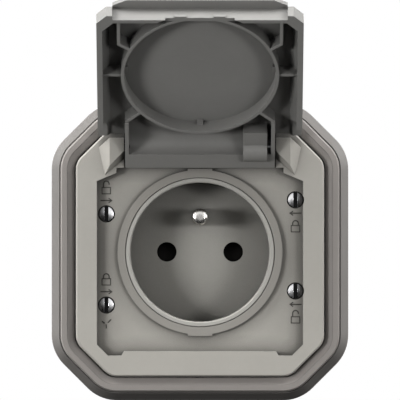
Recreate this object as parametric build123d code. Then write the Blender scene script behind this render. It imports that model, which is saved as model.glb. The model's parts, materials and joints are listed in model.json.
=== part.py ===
"""Flush weatherproof wall socket with one earthed two-pole outlet and a hinged lid.

Millimetres. The wall's surface is the plane Y = 0 and the room is towards -Y.
The origin lies on the wall, behind the centre of the round plug well. +Z is up.
A depth called f below is a distance in front of the wall, so Y = -f.
The lid is stored open, as it stands when a plug goes in.
"""

from build123d import *
import os
from math import atan, atan2, degrees, radians, sin, sqrt

# Plug well and its seal
WELL_INNER_R = 19.8
WELL_WALL = 1.4
WELL_OUTER_R = WELL_INNER_R + WELL_WALL
WELL_RIM_FRONT = 6.2
WELL_DEPTH = 14.7
WELL_FLOOR_THICK = 2.0
WELL_CLEAR = 0.2
WELL_FLANGE_THICK = 1.8
WELL_RIM_EDGE = 0.25
FIT_CLEAR = 0.05
WELL_SEAL_WIDTH = 2.2
WELL_SEAL_R = WELL_OUTER_R + WELL_SEAL_WIDTH
WELL_SEAL_FRONT = 6.3
WELL_SEAL_NECK = 1.0
WELL_SEAL_NECK_R = WELL_OUTER_R + WELL_SEAL_NECK
WELL_SEAL_TAB_HALF = 3.5
WELL_SEAL_TAB_REACH = 0.35
WELL_SEAL_TAB_OUT = WELL_SEAL_R + WELL_SEAL_TAB_REACH

# Hinge line, close above the seal, and the frame's outline past it
KNUCKLE_R = 5.9
KNUCKLE_GAP = 0.15
HINGE_Z = WELL_SEAL_TAB_OUT + KNUCKLE_GAP + KNUCKLE_R
KNUCKLE_OVERHANG = 0.5
HINGE_DOWN = KNUCKLE_R - KNUCKLE_OVERHANG
FRAME_HALF = HINGE_Z + HINGE_DOWN
FRAME_FRONT = 8.0
HINGE_OUT = 1.0
HINGE_F = FRAME_FRONT + HINGE_OUT

# Front frame with its recess
FRAME_GAP = 0.35
FRAME_EDGE = 0.4
FRAME_SKIRT = 1.4
FLOOR_FRONT = 5.1
FLOOR_THICK = 1.7
LOCK_BOSS_CLEAR = 0.2
RECESS_MARGIN = 8.05
RECESS_HALF = WELL_OUTER_R + RECESS_MARGIN
RECESS_MARGIN_LOW = 8.1
RECESS_BOTTOM = -WELL_OUTER_R - RECESS_MARGIN_LOW
RECESS_CORNER = 3.1
RECESS_TAB_IN = 6.95
RECESS_TAB_HALF = RECESS_HALF - RECESS_TAB_IN
RECESS_TAB_RISE = 1.2
RECESS_TAB_CORNER = 0.7

# Hinge ears, given for the right-hand one: in from the recess's side
EAR_INNER_IN = 7.75
EAR_INNER = RECESS_HALF - EAR_INNER_IN
EAR_NOTCH_IN = 5.55
EAR_NOTCH_X = RECESS_HALF - EAR_NOTCH_IN
EAR_FACE_IN = 3.65
EAR_FACE_X = RECESS_HALF - EAR_FACE_IN
EAR_OUTER_IN = 0.75
EAR_OUTER_X = RECESS_HALF - EAR_OUTER_IN
EAR_TIP_IN = 0.25
EAR_TIP_X = RECESS_HALF - EAR_TIP_IN

# The same ears, below and above the hinge line
EAR_TIP_DOWN = 9.6
EAR_TIP_Z = HINGE_Z - EAR_TIP_DOWN
EAR_NOTCH_DOWN = 7.3
EAR_NOTCH_Z = HINGE_Z - EAR_NOTCH_DOWN
EAR_BOTTOM_DOWN = 5.8
EAR_BOTTOM = HINGE_Z - EAR_BOTTOM_DOWN
EAR_BEND_DOWN = 4.9
EAR_BEND_Z = HINGE_Z - EAR_BEND_DOWN
EAR_OUTER_UP = 0.1
EAR_OUTER_TOP = HINGE_Z + EAR_OUTER_UP
EAR_UP = 2.7
EAR_TOP = HINGE_Z + EAR_UP

# The same ears, out from the frame's face
EAR_BEND_OUT = 2.05
EAR_BEND_FRONT = FRAME_FRONT + EAR_BEND_OUT
EAR_OUTER_OUT = 0.2
EAR_OUTER_FRONT = FRAME_FRONT + EAR_OUTER_OUT
EAR_TOP_OUT = 3.8
EAR_TOP_FRONT = FRAME_FRONT + EAR_TOP_OUT
EAR_TOE_IN = 0.8
EAR_TOE_RISE = 0.4

# Plate around the frame, an octagon with rounded corners
FRAME_INSET = 7.0
PLATE_HALF = FRAME_HALF + FRAME_INSET
PLATE_CHAMFER = 13.7
PLATE_CORNER_R = 12.0
SEAL_BAND = 2.5
SEAL_SLOPE = 2.2
SEAL_FOOT = 0.8
SEAL_FRONT = 5.6
SEAL_LIP = 5.0
PLATE_CLEAR = 0.12
PLATE_RIDGE = 7.2
PLATE_RIDGE_WIDTH = 1.5
PLATE_RIDGE_DROP = 0.6
PLATE_RIDGE_LEAN = 0.4
PLATE_LINE_WIDTH = 0.2
PLATE_LINE_DEPTH = 0.15
PLATE_INNER_FRONT = 5.9
PLATE_WALL = 1.2

# Metal support on the wall, one gasket thickness under the frame
SUPPORT_THICK = 1.0
SUPPORT_CLEAR = 0.2
SUPPORT_INSET = SEAL_LIP + SUPPORT_CLEAR
GASKET_THICK = 0.6
WALL_SCREW_SPACING = 60.0
WALL_SCREW_HOLE_R = 2.1
WALL_SCREW_SLOT = 6.0
KEYHOLE_CLEAR = 0.35
GASKET_CLEAR = 0.2
GASKET_WIDTH = 1.6

# Contacts
PIN_PITCH = 19.0
PIN_R = 2.4
PIN_HOLE_R = 2.8
PIN_LENGTH = 19.0
EARTH_Z = 10.0
EARTH_LENGTH = 14.0
EARTH_NECK_R = 2.0
EARTH_NECK = 0.3
EARTH_NOSE_R = 1.5
EARTH_SPIGOT_R = 1.6
STRIP_THICK = 0.8
STRIP_WIDTH = 4.6
STRIP_MARGIN = 3.0
SLEEVE_WALL = 0.7
SLEEVE_SLIT = 0.9
SLEEVE_SOLID = 2.0
SLEEVE_PINCH = 0.05
SLEEVE_FRONT_GAP = 0.2

# Shutter behind the well floor
SHUTTER_THICK = 2.6
SHUTTER_HALF_WIDTH = 13.4
SHUTTER_HALF_HEIGHT = 4.0
SHUTTER_TRAVEL = 7.0
SHUTTER_CLEAR = 0.3
RAMP_WIDTH = 6.8
RAMP_LOW = 2.6
RAMP_LEDGE = 0.5
GUIDE_BACK = 1.2
GUIDE_GAP = 0.1
SPRING_CLEAR = 0.2
SPRING_END_GAP = 0.1
SPRING_COIL_R = 1.35
SPRING_WIRE_R = 0.2
SPRING_TURNS = 6
SPRING_LENGTH = 13.0

# Moulded housing in the wall box
HOUSING_CORNER = 5.0
HOUSING_EDGE = 0.8
CONTACT_SEAT_GAP = 0.3
HOUSING_BORE_CLEAR = 0.3
HOUSING_BORE_R = WELL_OUTER_R + HOUSING_BORE_CLEAR
HOUSING_WALL = 1.7
HOUSING_HALF = HOUSING_BORE_R + HOUSING_WALL
HOUSING_BACK_WALL = 1.8
WIRE_HOLE_R = 2.0
HOUSING_SCREW_IN = 5.0
HOUSING_SCREW_AT = HOUSING_HALF - HOUSING_SCREW_IN
HOUSING_SCREW_R = 1.25
HOUSING_SCREW_HEAD_R = 2.2
HOUSING_SCREW_HEAD = 1.6
HOUSING_SCREW_SLOT = 0.7
HOUSING_SCREW_SLOT_DEPTH = 0.8
HOUSING_SCREW_DEPTH = 8.0
HOUSING_SCREW_LENGTH = 8.6
SCREW_HOLE_CLEAR = 0.1
SCREW_HEAD_CLEAR = 0.3

# Screw terminals
CLAMP_SIZE = 7.0
CLAMP_WALL = 1.0
CLAMP_LENGTH = 8.0
CLAMP_SEAT_GAP = 0.2
WIRE_HOLE_SHIFT = 0.5
PHASE_CLAMP_X = 10.5
PHASE_CLAMP_Z = -11.5
EARTH_CLAMP_Z = 15.0
CLAMP_SCREW_R = 1.4
CLAMP_SCREW_HEAD_R = 2.3
CLAMP_SCREW_HEAD = 2.0
CLAMP_SCREW_SLOT = 0.7
CLAMP_SCREW_OPEN = 1.0
CLAMP_SCREW_STANDOFF = 0.6
THREAD_CLEAR = 0.03
SCREWDRIVER_HOLE_R = 2.7

# Four quarter-turn lock screws
LOCK_LEFT_IN = 2.65
LOCK_LEFT_X = LOCK_LEFT_IN - RECESS_HALF
LOCK_RIGHT_IN = 2.15
LOCK_RIGHT_X = RECESS_HALF - LOCK_RIGHT_IN
LOCK_LEFT_Z = (10.9, -15.0)
LOCK_RIGHT_Z = (14.9, -11.0)
LOCK_HEAD_R = 2.1
LOCK_HEAD_THICK = 1.0
LOCK_HEAD_SUNK = 0.1
LOCK_HEAD_DOME = 0.3
LOCK_HOLE_CLEAR = 0.35
LOCK_SHANK_R = 1.4
LOCK_SLOT_WIDTH = 1.15
LOCK_SLOT_DEPTH = 0.6
LOCK_BOSS_R = 3.4
LOCK_CAM_LENGTH = 6.0
LOCK_CAM_WIDTH = 2.8
LOCK_CAM_THICK = 1.2
LOCK_CAM_GAP = 0.3

# Lid; a runs from the hinge line to the free end, c towards the room
LID_OPEN_DEG = 136.0
TROUGH_CLEAR = 0.35
TROUGH_WALL = 1.15
TROUGH_LIP_FRONT = 5.8
ARM_CLEAR = 0.3
ARM_THICK = 1.1
ARM_END = 12.5
LID_SIDE_GAP = 0.4
LID_HALF = RECESS_HALF - LID_SIDE_GAP
LID_FOOT_GAP = 5.7
LID_END = HINGE_Z - RECESS_BOTTOM - LID_FOOT_GAP
LID_CORNER = 2.8
LID_CUT = 3.9
SKIRT_CUT = 9.9
SKIRT_CUT_LEVEL = 0.7
INNER_CORNER = 3.1
LID_WALL = 1.6
LID_FLOOR_GAP = 0.5
LID_RIM = FLOOR_FRONT + LID_FLOOR_GAP - HINGE_F
LID_PANEL = 1.6
LID_FACE = 3.6
LID_BEVEL = 3.0
LEDGE_LEVEL = -0.6
LEDGE_WIDTH = 1.85
GRIP_SIDE = 4.45
GRIP_HALF = LID_HALF - GRIP_SIDE
GRIP_DEPTH = 1.5
GRIP_WALL = 1.2
LIP_REACH = 1.3
LIP_END = LID_END + LIP_REACH
LIP_CORNER_WIDTH = 3.9
LIP_HALF = GRIP_HALF - LIP_CORNER_WIDTH
LIP_CORNER_DEPTH = 1.9
LIP_SHOULDER = LIP_END - LIP_CORNER_DEPTH
LIP_THICK = 1.3
LIP_LEVEL = 1.7
LIP_ROOT = 5.0
LIP_EDGE_R = 0.6
RING_CLEAR = 0.1
RING_WALL = 0.9
RING_OUTER_R = WELL_OUTER_R + RING_CLEAR + RING_WALL
RING_SEAT_GAP = 0.2
RING_TIP = WELL_SEAL_FRONT + RING_SEAT_GAP - HINGE_F
SEAL_RELIEF = 0.35
RIB_THICK = 0.9
UPPER_RIB_IN = 4.55
UPPER_RIB_X = LID_HALF - LID_WALL - UPPER_RIB_IN
UPPER_RIB_LENGTH = 8.8
UPPER_RIB_A = LID_END - GRIP_DEPTH - GRIP_WALL - UPPER_RIB_LENGTH
UPPER_RIB_MEET_IN = 2.35
UPPER_RIB_MEET_X = RING_OUTER_R - RING_WALL / 2 - UPPER_RIB_MEET_IN
LOWER_RIB_MEET_IN = 5.05
LOWER_RIB_MEET_X = RING_OUTER_R - RING_WALL / 2 - LOWER_RIB_MEET_IN
LOWER_RIB_A = 12.3
SIDE_RIB_DROP = 0.4
NUB_WIDTH = 1.8
NUB_DEPTH = 1.0
NUB_LEVEL = 0.3
COVE_R = 4.3
COVE_RUN = 0.7
HINGE_PIN_R = 1.1
HINGE_PIN_FIT = 0.06
HINGE_PIN_PRESS = 0.02
HINGE_PIN_LENGTH = 4.7
HINGE_PIN_END_GAP = 0.2
BLOCK_GAP = 1.1
BLOCK_OUTER = EAR_INNER - ARM_CLEAR - ARM_THICK - BLOCK_GAP
BLOCK_WIDTH = 6.8
BLOCK_INNER = BLOCK_OUTER - BLOCK_WIDTH
BLOCK_NOSE_R = 3.2
BLOCK_NOSE_A = 0.3
BLOCK_NOSE_LEVEL = -1.6
BLOCK_END = 8.0
BLOCK_LEVEL = -2.7
BLOCK_PIN_STOP = 0.8
SNAP_INNER = 3.8
SNAP_OUTER = 7.1
SNAP_HEIGHT = 1.75
SNAP_OUT = 0.5
RIM_RISE = 0.3
RIM_RISE_HALF = 8.6

# How far a cutting shape runs past the face it cuts, and a wall runs into its neighbour
OVERRUN = 1.0
OVERLAP = 0.2

# Places that follow from the sizes above
well_floor = WELL_RIM_FRONT - WELL_DEPTH
well_back = well_floor - WELL_FLOOR_THICK
guide_front = well_back - GUIDE_GAP
guide_slot = guide_front - SHUTTER_THICK - 2 * SHUTTER_CLEAR
guide_rear = guide_slot - GUIDE_BACK
contact_rear = well_floor - PIN_LENGTH + STRIP_THICK
housing_floor = contact_rear - STRIP_THICK - CONTACT_SEAT_GAP
housing_rear = housing_floor - HOUSING_BACK_WALL
clamp_rear = contact_rear + CLAMP_SEAT_GAP
floor_back = FLOOR_FRONT - FLOOR_THICK
frame_back = SUPPORT_THICK + GASKET_THICK
head_seat = FLOOR_FRONT - LOCK_HEAD_SUNK - LOCK_HEAD_THICK
arm_outer = EAR_INNER - ARM_CLEAR
arm_inner = arm_outer - ARM_THICK
pin_outer = arm_inner + HINGE_PIN_LENGTH
ring_inner_r = RING_OUTER_R - RING_WALL
rib_overlap = RING_WALL / 2
grip_a = LID_END - GRIP_DEPTH
inner_half = LID_HALF - LID_WALL
inner_end = grip_a - GRIP_WALL
screw_corners = [(x, z) for x in (-HOUSING_SCREW_AT, HOUSING_SCREW_AT)
                 for z in (-HOUSING_SCREW_AT, HOUSING_SCREW_AT)]
screw_f = clamp_rear + CLAMP_LENGTH / 2
pin_stop = BLOCK_INNER + BLOCK_PIN_STOP
clamp_places = {
    "live_clamp": (PHASE_CLAMP_X, PHASE_CLAMP_Z, -1),
    "neutral_clamp": (-PHASE_CLAMP_X, PHASE_CLAMP_Z, -1),
    "earth_clamp": (0, EARTH_CLAMP_Z, 1),
}
lock_places = {
    "lock_screw_top_left": (LOCK_LEFT_X, LOCK_LEFT_Z[0]),
    "lock_screw_bottom_left": (LOCK_LEFT_X, LOCK_LEFT_Z[1]),
    "lock_screw_top_right": (LOCK_RIGHT_X, LOCK_RIGHT_Z[0]),
    "lock_screw_bottom_right": (LOCK_RIGHT_X, LOCK_RIGHT_Z[1]),
}


def front(f):
    """A plane parallel to the wall at depth f, seen from the room."""
    return Plane.XZ.offset(f)


def plate_between(outline, f_back, f_front):
    """An outline in X and Z made solid between two depths."""
    return extrude(front(f_back) * outline, f_front - f_back, dir=(0, -1, 0))


def post(x, z, radius, f_back, f_front):
    """A round bar that stands square to the wall."""
    return plate_between(Pos(x, z) * Circle(radius), f_back, f_front)


def block(x_low, x_high, z_low, z_high, f_back, f_front):
    """A square-edged block between two corners."""
    size = Rectangle(x_high - x_low, z_high - z_low)
    return plate_between(Pos((x_low + x_high) / 2, (z_low + z_high) / 2) * size, f_back, f_front)


def octagon_points(inset):
    """Corner points of the plate's outline, drawn in by the same inset on every side."""
    half = PLATE_HALF - inset
    leg = PLATE_CHAMFER - (2 - sqrt(2)) * inset
    side = half - leg
    return [(side, -half), (half, -side), (half, side), (side, half),
            (-side, half), (-half, side), (-half, -side), (-side, -half)]


def octagon(inset):
    """The plate's rounded octagon as a face."""
    corners = Polygon(*octagon_points(inset), align=None)
    return fillet(corners.vertices(), PLATE_CORNER_R - inset)


def ring_between(inset_outer, inset_inner, f_back, f_front):
    """A flat octagonal ring between two insets and two depths."""
    return plate_between(octagon(inset_outer) - octagon(inset_inner), f_back, f_front)


def sloped_octagon(inset_back, inset_front, f_back, f_front):
    """An octagonal block whose sides lean in evenly from its back to its front."""
    lean = degrees(atan((inset_front - inset_back) / (f_front - f_back)))
    return extrude(front(f_back) * octagon(inset_back), f_front - f_back, taper=lean)


def mirrored(part):
    """The part with its mirror image on the other side of the middle plane."""
    return part + mirror(part, Plane.YZ)


def under_plane(solid, p1, p2, p3):
    """What is left of a solid on the wall side of a plane through three (x, z, f) points."""
    a, b, c = (Vector(x, -f, z) for x, z, f in (p1, p2, p3))
    normal = (b - a).cross(c - a)
    if normal.Y > 0:
        normal = normal * -1
    return split(solid, Plane(a, z_dir=normal), keep=Keep.BOTTOM)


def along_x(x_low, x_high, radius):
    """A round bar on the hinge line between two places across."""
    bar = Rot(0, 90, 0) * Cylinder(radius, x_high - x_low)
    return Pos((x_low + x_high) / 2, -HINGE_F, HINGE_Z) * bar


def wall_seal():
    """Soft ring that closes against the wall; its sloped band frames the plate."""
    band = plate_between(octagon(0), 0, SEAL_FOOT)
    band += sloped_octagon(0, SEAL_SLOPE, SEAL_FOOT, SEAL_FRONT)
    band -= plate_between(octagon(SEAL_BAND), SUPPORT_THICK, SEAL_FRONT + OVERRUN)
    return band - plate_between(octagon(SEAL_LIP), -OVERRUN, SEAL_FRONT + OVERRUN)


def surround_plate():
    """Hollow moulded ring: outer wall, ridge, groove line, slope down to the frame."""
    outer = SEAL_BAND + PLATE_CLEAR
    ridge = outer + PLATE_RIDGE_LEAN
    line = ridge + PLATE_RIDGE_WIDTH
    funnel_top = line + PLATE_LINE_WIDTH
    inner = FRAME_INSET - FRAME_GAP
    shoulder = PLATE_RIDGE - PLATE_RIDGE_DROP
    line_front = PLATE_RIDGE - PLATE_LINE_DEPTH
    ring = plate_between(octagon(outer), SUPPORT_THICK, shoulder)
    ring += sloped_octagon(outer, ridge, shoulder, PLATE_RIDGE)
    slope = line_front - PLATE_INNER_FRONT
    lean = degrees(atan((inner - funnel_top) / slope))
    funnel = extrude(front(line_front) * octagon(funnel_top), -slope, taper=lean)
    step = plate_between(octagon(line), line_front, PLATE_RIDGE + OVERRUN)
    hole = plate_between(octagon(inner), 0, PLATE_RIDGE)
    channel = ring_between(outer + PLATE_WALL, inner - PLATE_WALL, 0, PLATE_INNER_FRONT - PLATE_WALL)
    return ring - step - funnel - hole - channel


def support_frame():
    """Stamped steel plate on the wall: well opening, wall-screw slots and cam keyholes."""
    sheet = plate_between(octagon(SUPPORT_INSET), 0, SUPPORT_THICK)
    cuts = post(0, 0, WELL_OUTER_R + WELL_CLEAR, -OVERRUN, SUPPORT_THICK + OVERRUN)
    slot = SlotOverall(WALL_SCREW_SLOT, 2 * WALL_SCREW_HOLE_R)
    for side in (-1, 1):
        place = Pos(side * WALL_SCREW_SPACING / 2, 0)
        cuts += plate_between(place * slot, -OVERRUN, SUPPORT_THICK + OVERRUN)
    keyhole_length = LOCK_CAM_LENGTH + 2 * KEYHOLE_CLEAR
    keyhole = SlotOverall(keyhole_length, LOCK_CAM_WIDTH + 2 * KEYHOLE_CLEAR)
    for x, z in lock_places.values():
        cuts += plate_between(Pos(x, z) * keyhole, -OVERRUN, SUPPORT_THICK + OVERRUN)
    for x, z in screw_corners:
        cuts += post(x, z, HOUSING_SCREW_R + THREAD_CLEAR, -OVERRUN, SUPPORT_THICK + OVERRUN)
    return sheet - cuts


def frame_gasket():
    """Flat soft ring between the support and the frame's skirt."""
    outer = FRAME_INSET + GASKET_CLEAR
    return ring_between(outer, outer + GASKET_WIDTH, SUPPORT_THICK, frame_back)


def recess_outline():
    """Outline of the frame's recess, with the raised tab in its lower edge."""
    tab_top = RECESS_BOTTOM + RECESS_TAB_RISE
    top = HINGE_Z + KNUCKLE_R
    right = [(RECESS_TAB_HALF - RECESS_TAB_CORNER, tab_top),
             (RECESS_TAB_HALF, RECESS_BOTTOM),
             (RECESS_HALF - RECESS_CORNER, RECESS_BOTTOM),
             (RECESS_HALF, RECESS_BOTTOM + RECESS_CORNER),
             (RECESS_HALF, EAR_TIP_Z),
             (EAR_NOTCH_X, EAR_NOTCH_Z),
             (EAR_NOTCH_X, EAR_BOTTOM),
             (EAR_INNER, EAR_BOTTOM),
             (EAR_INNER, top)]
    left = [(-x, z) for x, z in reversed(right)]
    return Polygon(*right, *left, align=None)


def hinge_ear():
    """Faceted ear beside the lid's arm: a tilted face, an outer facet and a cut foot."""
    outline = Polygon((EAR_INNER, EAR_BOTTOM), (EAR_NOTCH_X, EAR_BOTTOM), (EAR_NOTCH_X, EAR_NOTCH_Z),
                      (RECESS_HALF, EAR_TIP_Z), (RECESS_HALF, EAR_OUTER_TOP),
                      (EAR_OUTER_X, EAR_OUTER_TOP), (EAR_FACE_X, EAR_TOP), (EAR_INNER, EAR_TOP), align=None)
    ear = plate_between(outline, floor_back, EAR_TOP_FRONT + OVERRUN)
    bend = (EAR_FACE_X, EAR_BEND_Z, EAR_BEND_FRONT)
    crown = (EAR_FACE_X, EAR_TOP, EAR_TOP_FRONT)
    ear = under_plane(ear, bend, crown, (EAR_INNER, EAR_TOP, EAR_TOP_FRONT))
    ear = under_plane(ear, bend, crown, (EAR_OUTER_X, EAR_OUTER_TOP, EAR_OUTER_FRONT))
    toe = (EAR_FACE_X - EAR_TOE_IN, EAR_BEND_Z + EAR_TOE_RISE, EAR_BEND_FRONT)
    tip = (EAR_TIP_X, EAR_TIP_Z, FRAME_FRONT)
    ear = under_plane(ear, toe, tip, (EAR_NOTCH_X, EAR_NOTCH_Z, FLOOR_FRONT))
    return ear & plate_between(octagon(FRAME_INSET), 0, EAR_TOP_FRONT + OVERRUN)


def front_frame():
    """Light octagonal frame: flat band, recess floor, ears and the lid's swing trough."""
    body = plate_between(octagon(FRAME_INSET), frame_back, FRAME_FRONT)
    body = chamfer(body.faces().sort_by(Axis.Y)[0].outer_wire().edges(), FRAME_EDGE)
    body -= plate_between(recess_outline(), FLOOR_FRONT, FRAME_FRONT + OVERRUN)
    body -= plate_between(octagon(FRAME_INSET + FRAME_SKIRT), 0, floor_back)
    trough_r = KNUCKLE_R + TROUGH_CLEAR
    wall_half = EAR_INNER + TROUGH_WALL
    trough = along_x(-wall_half, wall_half, trough_r + TROUGH_WALL)
    body += trough & plate_between(octagon(FRAME_INSET), frame_back, FLOOR_FRONT)
    body += mirrored(hinge_ear())
    body -= along_x(-EAR_INNER, EAR_INNER, trough_r)
    body -= block(-EAR_INNER, EAR_INNER, HINGE_Z, FRAME_HALF + OVERRUN,
                  TROUGH_LIP_FRONT, FRAME_FRONT + OVERRUN)
    for x, z in lock_places.values():
        body += post(x, z, LOCK_BOSS_R, SUPPORT_THICK + LOCK_BOSS_CLEAR, floor_back)
    for x, z in lock_places.values():
        body -= post(x, z, LOCK_SHANK_R + LOCK_HOLE_CLEAR, 0, FRAME_FRONT)
        body -= post(x, z, LOCK_HEAD_R + LOCK_HOLE_CLEAR, head_seat, FRAME_FRONT)
    body -= post(0, 0, WELL_SEAL_NECK_R, 0, FRAME_FRONT)
    bore_end = pin_outer + HINGE_PIN_END_GAP
    for low, high in ((-bore_end, -EAR_INNER), (EAR_INNER, bore_end)):
        body -= along_x(low, high, HINGE_PIN_R + HINGE_PIN_PRESS)
    return body


def well_seal():
    """Soft ring round the well: flat flange with two locating tabs, and a neck through the floor."""
    flange = Circle(WELL_SEAL_R)
    flange += Rectangle(2 * WELL_SEAL_TAB_HALF, 2 * WELL_SEAL_TAB_OUT)
    ring = plate_between(flange, FLOOR_FRONT, WELL_SEAL_FRONT)
    ring += post(0, 0, WELL_SEAL_NECK_R - FIT_CLEAR, floor_back, FLOOR_FRONT)
    return ring - post(0, 0, WELL_OUTER_R + FIT_CLEAR, 0, FRAME_FRONT)


def housing_outline():
    """Square outline with cut corners, shared by the housing and the well's flange."""
    square = Rectangle(2 * HOUSING_HALF, 2 * HOUSING_HALF)
    return chamfer(square.vertices(), HOUSING_CORNER)


def socket_well():
    """Round cup that takes the plug, with its back flange, pin holes and earth pin hole."""
    cup = post(0, 0, WELL_OUTER_R, well_back, WELL_RIM_FRONT)
    cup += plate_between(housing_outline(), -WELL_FLANGE_THICK, 0)
    cup -= post(0, 0, WELL_INNER_R, well_floor, WELL_RIM_FRONT + OVERRUN)
    rim = cup.edges().filter_by(GeomType.CIRCLE).group_by(Axis.Y)[0]
    cup = chamfer(rim, WELL_RIM_EDGE)
    for x in (-PIN_PITCH / 2, PIN_PITCH / 2):
        cup -= post(x, 0, PIN_HOLE_R, well_back - OVERRUN, well_floor + OVERRUN)
    cup -= post(0, EARTH_Z, EARTH_SPIGOT_R + FIT_CLEAR, well_back - OVERRUN, well_floor + OVERRUN)
    for x, z in screw_corners:
        cup -= post(x, z, HOUSING_SCREW_R + SCREW_HOLE_CLEAR, -WELL_FLANGE_THICK - OVERRUN, OVERRUN)
    return cup


def earth_pin():
    """Turned pin with a rounded nose, a neck above its seat and a thinner spigot through the floor."""
    pin = post(0, EARTH_Z, PIN_R, well_floor + EARTH_NECK, well_floor + EARTH_LENGTH)
    nose = pin.edges().filter_by(GeomType.CIRCLE).sort_by(Axis.Y)[0]
    pin = fillet(nose, EARTH_NOSE_R)
    pin += post(0, EARTH_Z, EARTH_NECK_R, well_floor, well_floor + EARTH_NECK)
    return pin + post(0, EARTH_Z, EARTH_SPIGOT_R, guide_rear - 2 * STRIP_THICK, well_floor)


def earth_strap():
    """Brass strip riveted on the earth pin and bent back into its terminal."""
    low = EARTH_CLAMP_Z - CLAMP_SIZE / 2 + CLAMP_WALL + FIT_CLEAR
    high = low + STRIP_THICK
    half = STRIP_WIDTH / 2
    face = block(-half, half, EARTH_Z - STRIP_MARGIN, high, guide_rear - STRIP_THICK, guide_rear)
    leg = block(-half, half, low, high, clamp_rear + STRIP_THICK, guide_rear)
    return face + leg - post(0, EARTH_Z, EARTH_SPIGOT_R, guide_rear - OVERRUN, guide_rear + OVERRUN)


def phase_contact(side):
    """Slit spring sleeve for one plug pin, with a strip bent into its terminal."""
    x = side * PIN_PITCH / 2
    bore = PIN_R - SLEEVE_PINCH
    sleeve_front = guide_rear - SLEEVE_FRONT_GAP
    sleeve = post(x, 0, bore + SLEEVE_WALL, contact_rear, sleeve_front)
    left = side * PHASE_CLAMP_X - STRIP_WIDTH / 2
    right = side * PHASE_CLAMP_X + STRIP_WIDTH / 2
    high = PHASE_CLAMP_Z + CLAMP_SIZE / 2 - CLAMP_WALL - FIT_CLEAR
    low = high - STRIP_THICK
    down = block(left, right, low, -bore + STRIP_THICK, contact_rear - STRIP_THICK, contact_rear)
    leg = block(left, right, low, high, contact_rear, clamp_rear + CLAMP_LENGTH - STRIP_THICK)
    contact = sleeve + down + leg
    contact -= post(x, 0, bore, contact_rear - OVERRUN, sleeve_front + OVERRUN)
    slit = SLEEVE_SLIT / 2
    return contact - block(x - slit, x + slit, -PIN_R - SLEEVE_WALL, PIN_R + SLEEVE_WALL,
                           contact_rear + SLEEVE_SOLID, sleeve_front + OVERRUN)


def terminal_clamp(x, z, screw_way):
    """Square brass cage open towards the wire hole, tapped for its screw."""
    half = CLAMP_SIZE / 2
    inner = half - CLAMP_WALL
    clamp_front = clamp_rear + CLAMP_LENGTH
    cage = block(x - half, x + half, z - half, z + half, clamp_rear, clamp_front)
    cage -= block(x - inner, x + inner, z - inner, z + inner, clamp_rear - OVERRUN, clamp_front + OVERRUN)
    tap = Cylinder(CLAMP_SCREW_R + THREAD_CLEAR, 2 * CLAMP_WALL + OVERRUN)
    return cage - Pos(x, -screw_f, z + screw_way * half) * tap


def terminal_screw(x, z, screw_way):
    """Slotted clamp screw along Z, its head outside the cage."""
    tip = z + screw_way * CLAMP_SCREW_OPEN
    neck = z + screw_way * (CLAMP_SIZE / 2 + CLAMP_SCREW_STANDOFF)
    end = neck + screw_way * CLAMP_SCREW_HEAD
    shank = Pos(x, -screw_f, (tip + neck) / 2) * Cylinder(CLAMP_SCREW_R, abs(neck - tip))
    head = Pos(x, -screw_f, (neck + end) / 2) * Cylinder(CLAMP_SCREW_HEAD_R, CLAMP_SCREW_HEAD)
    slot = Box(2 * CLAMP_SCREW_HEAD_R + OVERRUN, CLAMP_SCREW_SLOT, CLAMP_SCREW_HEAD)
    return shank + head - Pos(x, -screw_f, end) * slot


def shutter_guide():
    """Insulating disc behind the well floor with the shutter's pocket and spring slot."""
    disc = post(0, 0, WELL_OUTER_R, guide_rear, guide_front)
    half = SHUTTER_HALF_WIDTH + SHUTTER_CLEAR
    low = -SHUTTER_HALF_HEIGHT - SHUTTER_TRAVEL - SHUTTER_CLEAR
    open_front = guide_front + OVERRUN
    disc -= block(-half, half, low, SHUTTER_HALF_HEIGHT + SHUTTER_CLEAR, guide_slot, open_front)
    spring_half = SPRING_COIL_R + SPRING_WIRE_R + SPRING_CLEAR
    spring_low = -SHUTTER_HALF_HEIGHT - SPRING_LENGTH - SPRING_END_GAP
    disc -= block(-spring_half, spring_half, spring_low, low + OVERRUN, guide_slot, open_front)
    for x in (-PIN_PITCH / 2, PIN_PITCH / 2):
        disc -= post(x, 0, PIN_HOLE_R, guide_rear - OVERRUN, open_front)
    return disc - post(0, EARTH_Z, EARTH_SPIGOT_R + FIT_CLEAR, guide_rear - OVERRUN, open_front)


def shutter():
    """Sliding bar that closes both pin holes; its ramps let two pins push it down."""
    back = guide_slot + SHUTTER_CLEAR
    face = back + SHUTTER_THICK
    high = SHUTTER_HALF_HEIGHT
    bar = block(-SHUTTER_HALF_WIDTH, SHUTTER_HALF_WIDTH, -high, high, back, face)
    wedge = Polygon((-face, high), (-back - RAMP_LEDGE, high), (-face, -RAMP_LOW), align=None)
    for x in (-PIN_PITCH / 2, PIN_PITCH / 2):
        bar -= extrude(Plane.YZ.offset(x - RAMP_WIDTH / 2) * wedge, RAMP_WIDTH, dir=(1, 0, 0))
    return bar


def shutter_spring():
    """Coil spring under the shutter, its thin wire drawn with six sides."""
    f = (guide_front + guide_slot) / 2
    low = -SHUTTER_HALF_HEIGHT - SPRING_LENGTH + SPRING_WIRE_R
    height = SPRING_LENGTH - 2 * SPRING_WIRE_R - SPRING_END_GAP
    coil = Helix(pitch=height / SPRING_TURNS, height=height, radius=SPRING_COIL_R)
    section = Plane(coil @ 0, z_dir=coil % 0) * RegularPolygon(SPRING_WIRE_R, 6)
    return Pos(0, -f, low) * sweep(section, path=coil, is_frenet=True)


def screwdriver_hole(x, z, screw_way):
    """A round way from a terminal screw's head out through the housing's side."""
    start = abs(z) + CLAMP_SIZE / 2
    length = HOUSING_HALF + OVERRUN - start
    middle = screw_way * (start + length / 2)
    return Pos(x, -screw_f, middle) * Cylinder(SCREWDRIVER_HOLE_R, length)


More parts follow.
